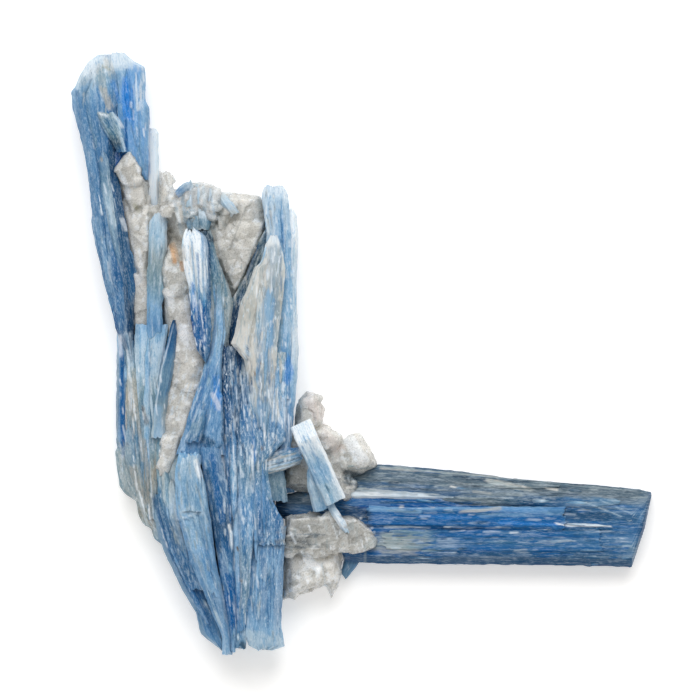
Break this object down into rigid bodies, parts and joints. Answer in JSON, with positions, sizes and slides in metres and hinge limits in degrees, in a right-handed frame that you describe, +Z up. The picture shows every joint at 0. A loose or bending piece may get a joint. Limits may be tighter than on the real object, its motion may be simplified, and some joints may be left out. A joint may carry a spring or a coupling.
{
  "type": "kyanite specimen",
  "caption": "Natural cluster of grown-together blue kyanite blades, with a long blade running out sideways, a small leaning prism and milky quartz between them.",
  "frame": {"origin": "middle of the specimen's bounding box, on the surface that it lies on", "axes": "+Z up from that surface; +Y along the bundle, towards the rounded end of its tall blade; +X along the side blade, towards its free end"},
  "size_m": [0.1158, 0.1204, 0.024],
  "materials": {
    "kyanite": "vitreous, streaked along the blades",
    "kyanite_dark": "vitreous, streaked along the blade",
    "kyanite_pale": "vitreous, finely striped",
    "quartz": "milky, broken and knobbly"
  },
  "bodies": {
    "root": {"kyanite_bundle": "kyanite", "kyanite_side_blade": "kyanite_dark", "kyanite_small_prism": "kyanite_pale", "quartz_vein": "quartz", "quartz_junction_upper": "quartz", "quartz_junction_lower": "quartz"}
  },
  "joints": []
}
